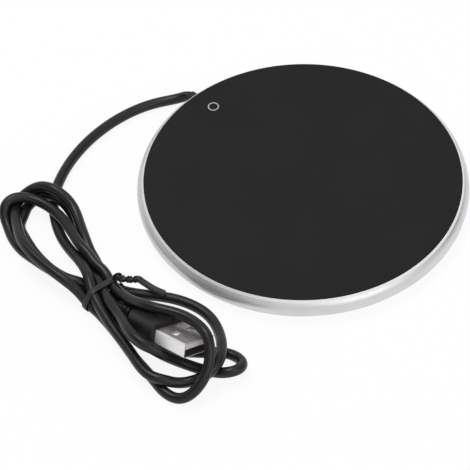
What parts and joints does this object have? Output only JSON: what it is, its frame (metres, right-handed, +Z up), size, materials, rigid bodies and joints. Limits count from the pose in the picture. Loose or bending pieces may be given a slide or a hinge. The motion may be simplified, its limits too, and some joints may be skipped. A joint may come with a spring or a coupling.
{
  "type": "electric mug warmer",
  "caption": "Thin round hot plate with a black top in an aluminium rim and a touch mark, its cord tied in a folded hank that ends in a USB-A plug.",
  "frame": {"origin": "centre of the disc, on the plane that the four feet stand on", "axes": "+Z up out of the hot plate; +Y from the centre towards the touch mark and the cord's exit"},
  "size_m": [0.133, 0.1131, 0.0155],
  "materials": {
    "rim": "fine matt, blasted, with a bright turned lip",
    "plate": "satin black heat-proof coating",
    "mark": "printed pale grey",
    "gasket": "matt",
    "spreader": "mill finish",
    "film": "amber film",
    "pad": "glass fibre felt",
    "sensor": "epoxy bead",
    "bare_wire": "tinned",
    "fuse": "ceramic glaze",
    "wire_red": "insulation",
    "board": "solder mask",
    "chip": "moulded",
    "components": "ceramic",
    "led": "clear",
    "screw": "zinc plated",
    "cover": "fine moulded grain",
    "feet": "matt",
    "cord": "soft satin jacket",
    "tie": "satin",
    "overmould": "satin",
    "shell": "nickel plated, finely brushed",
    "tongue": "moulded",
    "contacts": "gold plated"
  },
  "bodies": {
    "root": {"rim_ring": "rim", "top_plate": "plate", "touch_mark": "mark", "plate_gasket": "gasket", "heat_spreader": "spreader", "heating_film": "film", "insulation_pad": "pad", "temperature_sensor": "sensor", "sensor_leads": "bare_wire", "thermal_fuse": "fuse", "heater_leads": "wire_red", "control_board": "board", "control_chip": "chip", "board_components": "components", "indicator_led": "led", "touch_spring": "bare_wire", "board_screws": "screw", "bottom_cover": "cover", "cover_screws": "screw", "rubber_feet": "feet", "cord_grommet": "cord", "power_leads": "wire_red", "cord_lead": "cord", "cord_hank": "cord", "twist_tie": "tie", "usb_overmould": "overmould", "usb_shell": "shell", "usb_insulator": "tongue", "usb_contacts": "contacts"}
  },
  "joints": []
}
